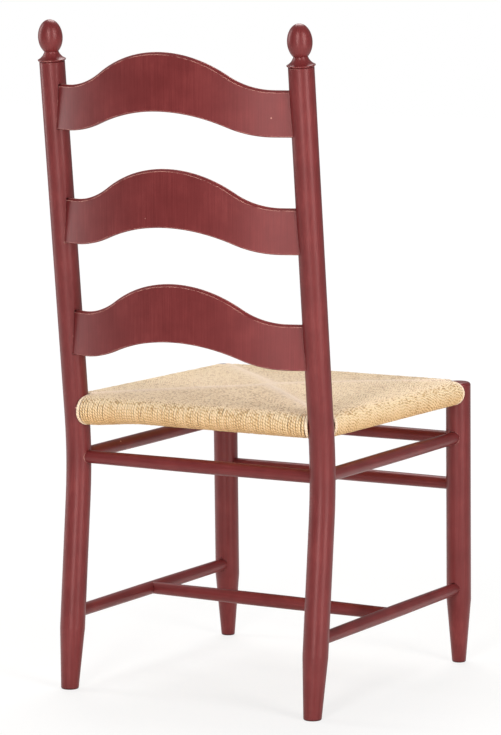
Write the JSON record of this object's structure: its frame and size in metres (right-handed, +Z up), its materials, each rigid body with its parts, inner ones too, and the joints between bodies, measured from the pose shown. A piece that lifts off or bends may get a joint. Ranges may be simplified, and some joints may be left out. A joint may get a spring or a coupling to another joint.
{
  "type": "ladderback chair",
  "caption": "Painted wooden side chair with round bent posts, turned finials, arched and bowed back slats, turned rungs and a woven rush seat.",
  "frame": {"origin": "on the floor, under the middle of the whole chair's extent from side to side and from the front legs to the back of the top slat", "axes": "+Z up; the chair faces -Y, so the sitter's left hand is on the +X side"},
  "size_m": [0.4636, 0.5721, 1.0124],
  "materials": {
    "painted_wood": "satin brick-red paint over turned hardwood, thin at the edges",
    "bare_wood": "unpainted turned hardwood, hidden inside the seat",
    "rush_cord": "twisted fibre cord in pale and golden tan, matt"
  },
  "bodies": {
    "root": {"back_post_left": "painted_wood", "back_post_right": "painted_wood", "finial_left": "painted_wood", "finial_right": "painted_wood", "front_leg_left": "painted_wood", "front_leg_right": "painted_wood", "slat_top": "painted_wood", "slat_middle": "painted_wood", "slat_bottom": "painted_wood", "back_rung": "painted_wood", "front_rung_upper": "painted_wood", "front_rung_lower": "painted_wood", "side_rung_upper_left": "painted_wood", "side_rung_upper_right": "painted_wood", "side_rung_lower_left": "painted_wood", "side_rung_lower_right": "painted_wood", "cross_stretcher": "painted_wood", "seat_rail_back": "bare_wood", "seat_rail_front": "bare_wood", "seat_rail_left": "bare_wood", "seat_rail_right": "bare_wood", "rush_seat": "rush_cord"}
  },
  "joints": []
}
